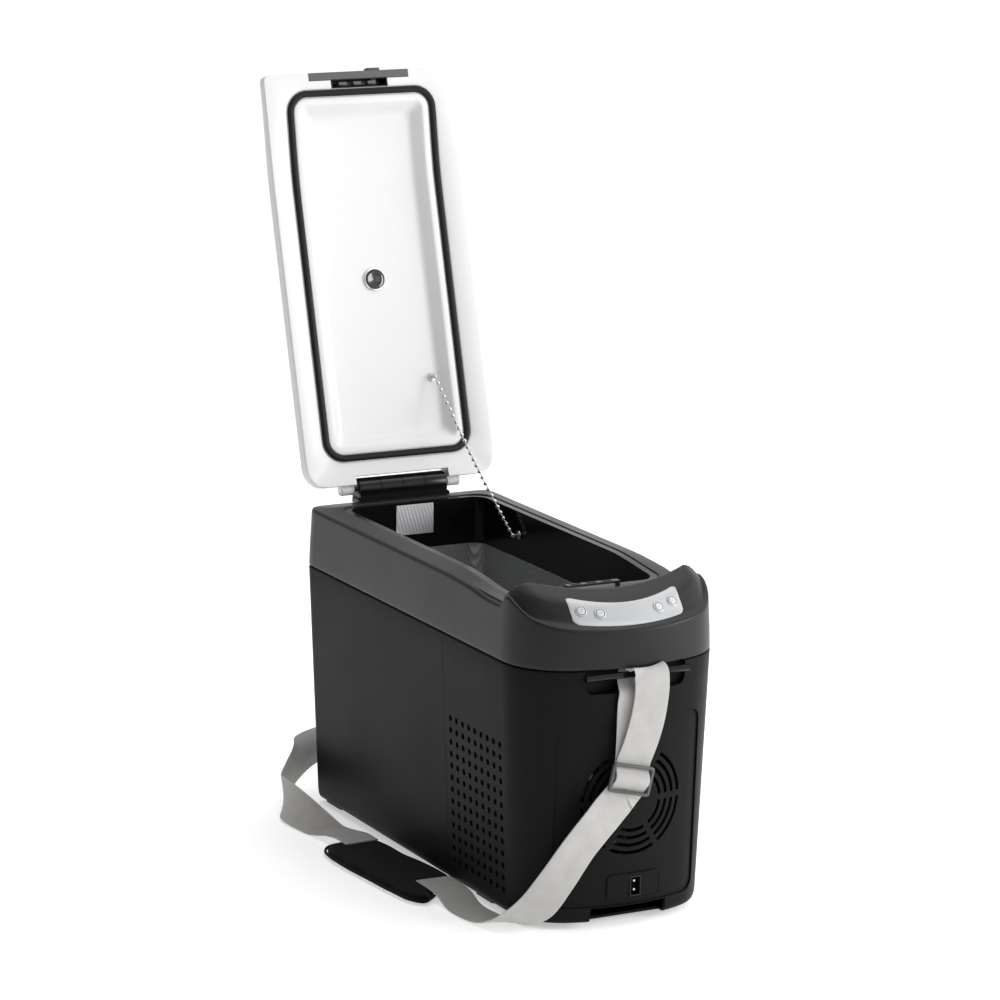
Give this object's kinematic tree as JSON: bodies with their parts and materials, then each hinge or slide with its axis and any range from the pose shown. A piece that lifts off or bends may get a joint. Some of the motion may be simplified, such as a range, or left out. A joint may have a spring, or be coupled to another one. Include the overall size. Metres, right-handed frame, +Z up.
{
  "type": "portable compressor cooler fridge",
  "caption": "Narrow compressor cooler with a hinged lid standing open, a stepped bin, a control panel on the nose, a fan grille and a padded shoulder strap.",
  "frame": {"origin": "on the floor under the middle of the body, on the flat underside of the base", "axes": "+Z up, -Y towards the control panel and fan grille, +X to the right seen from the panel end"},
  "size_m": [0.3044, 0.7011, 0.8151],
  "materials": {
    "charcoal": "fine-textured semi-matt moulded plastic",
    "frame_grey": "satin moulded plastic, a shade lighter than the shell",
    "black": "smooth black moulded plastic",
    "white": "smooth white moulded plastic",
    "silver": "silver-grey satin panel",
    "button": "light grey button plastic",
    "grey": "dark grey plastic",
    "rubber": "matt black rubber",
    "gasket": "dark soft seal",
    "aluminium": "embossed or rolled aluminium",
    "steel": "bright steel",
    "steel_dark": "dark painted steel",
    "chrome": "bright rim",
    "badge": "black disc, blank",
    "copper": "bare copper tube",
    "foam": "rigid foam",
    "board": "circuit board",
    "webbing": "light grey woven webbing",
    "fabric": "dark padded fabric"
  },
  "bodies": {
    "body": {"outer_shell": "charcoal", "compressor_cover": "charcoal", "strap_bar_front": "black", "strap_bar_rear": "black", "base_tray": "charcoal", "foot_rear_left": "rubber", "foot_rear_right": "rubber", "foot_mid_left": "rubber", "foot_mid_right": "rubber", "top_frame": "frame_grey", "control_panel": "silver", "keypad_mat": "rubber", "control_board": "board", "bin_liner": "black", "evaporator_lining": "aluminium", "evaporator_cover_plate": "aluminium", "chain_anchor_bin": "steel", "insulation_foam": "foam", "latch_striker": "steel_dark", "hinge_bracket": "black", "hinge_pin": "steel", "ball_chain": "steel", "compressor_mount": "steel", "grommet_a": "rubber", "grommet_b": "rubber", "grommet_c": "rubber", "compressor": "black", "condenser": "aluminium", "fan_frame": "black", "compressor_driver_box": "grey", "filter_drier": "copper", "discharge_tube": "copper", "liquid_tube": "copper", "capillary_tube": "copper", "suction_tube": "copper", "socket_plate": "charcoal", "dc_inlet": "black", "inlet_pin_upper": "steel", "inlet_pin_lower": "steel", "strap_web_front": "webbing", "strap_web_rear": "webbing", "strap_buckle": "grey", "shoulder_pad": "fabric"},
    "lid": {"lid_shell": "white", "lid_liner": "white", "lid_gasket": "gasket", "lid_foam": "foam", "lid_badge": "badge", "badge_ring": "chrome", "chain_eyelet_lid": "steel", "latch_trim": "grey", "latch_housing": "black"},
    "latch": {"latch_slider": "grey"},
    "fan": {"fan_rotor": "black"},
    "button_power": {"button_power": "button"},
    "button_mode": {"button_mode": "button"},
    "button_down": {"button_down": "button"},
    "button_up": {"button_up": "button"}
  },
  "joints": [
    {"name": "lid_hinge", "type": "hinge", "parent": "body", "child": "lid", "pos_m": [0, 0.276, 0.356], "axis": [1, 0, 0], "range_deg": [0, 106], "deforming": ["ball_chain"]},
    {"name": "latch_slide", "type": "slide", "parent": "lid", "child": "latch", "axis": [1, 0, 0], "range_m": [0, 0.007]},
    {"name": "fan_spin", "type": "hinge", "parent": "body", "child": "fan", "pos_m": [0, -0.2468, 0.134], "axis": [0, 1, 0], "continuous": true},
    {"name": "button_power_press", "type": "slide", "parent": "body", "child": "button_power", "axis": [0.1362, 0.7369, -0.6622], "range_m": [0, 0.001], "stiffness_N_per_m": 400, "springref_m": -0.0005},
    {"name": "button_mode_press", "type": "slide", "parent": "body", "child": "button_mode", "axis": [0.0849, 0.7254, -0.6831], "range_m": [0, 0.001], "stiffness_N_per_m": 400, "springref_m": -0.0005},
    {"name": "button_down_press", "type": "slide", "parent": "body", "child": "button_down", "axis": [-0.0849, 0.7254, -0.6831], "range_m": [0, 0.001], "stiffness_N_per_m": 400, "springref_m": -0.0005},
    {"name": "button_up_press", "type": "slide", "parent": "body", "child": "button_up", "axis": [-0.1362, 0.7369, -0.6622], "range_m": [0, 0.001], "stiffness_N_per_m": 400, "springref_m": -0.0005}
  ]
}
